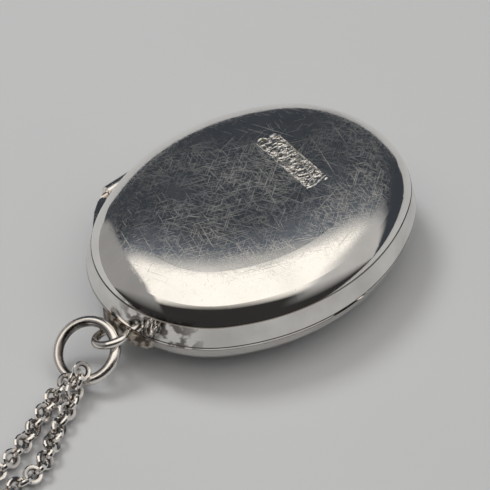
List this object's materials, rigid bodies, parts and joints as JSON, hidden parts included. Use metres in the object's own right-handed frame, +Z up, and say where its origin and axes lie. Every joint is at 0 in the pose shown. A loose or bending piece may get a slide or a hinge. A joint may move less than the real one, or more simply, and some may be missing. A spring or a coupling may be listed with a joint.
{
  "type": "oval photo locket",
  "caption": "Oval hinged metal locket with inner photo frames, a bail loop and jump ring, on a doubled fine link chain with a bolt-ring clasp.",
  "frame": {"origin": "middle of the small flat on the front half's crown, which the closed locket rests on", "axes": "+X from the bail to the toe, +Y to the hinge, +Z up from the front half to the back half"},
  "size_m": [0.0885, 0.0444, 0.0114],
  "materials": {
    "silver": "polished, worn",
    "solder": "rough, granular",
    "chain": "polished links",
    "clear": "clear plastic",
    "card": "blank paper"
  },
  "bodies": {
    "front": {"front_shell": "silver", "snap_bezel": "silver", "front_hinge_leaf": "silver", "hinge_pin": "silver", "bail_foot": "solder", "bail_loop": "silver", "front_frame": "silver", "front_window": "clear", "front_photo": "card", "chain_bight": "chain", "chain_left": "chain", "chain_right": "chain", "chain_coil": "chain", "clasp_ring": "silver", "clasp_eye": "silver", "end_ring": "silver"},
    "back": {"back_shell": "silver", "back_hinge_leaf": "silver", "back_frame": "silver", "back_window": "clear", "back_photo": "card"},
    "jump_ring": {"jump_ring": "silver"},
    "clasp_bolt": {"clasp_bolt": "silver"}
  },
  "joints": [
    {"name": "lid_hinge", "type": "hinge", "parent": "front", "child": "back", "pos_m": [0, 0.0147, 0.00529], "axis": [-1, 0, 0], "range_deg": [0, 170]},
    {"name": "jump_ring_spin", "type": "hinge", "parent": "front", "child": "jump_ring", "pos_m": [-0.0228, 0.00045, 0.00295], "axis": [-0.5174, -0.0727, 0.8526], "continuous": true},
    {"name": "bolt_slide", "type": "hinge", "parent": "front", "child": "clasp_bolt", "pos_m": [-0.06137, -0.00829, 0.0066], "axis": [0, 0, -1], "range_deg": [0, 50], "stiffness_Nm_per_rad": 0.00002, "springref_deg": -28.65}
  ]
}
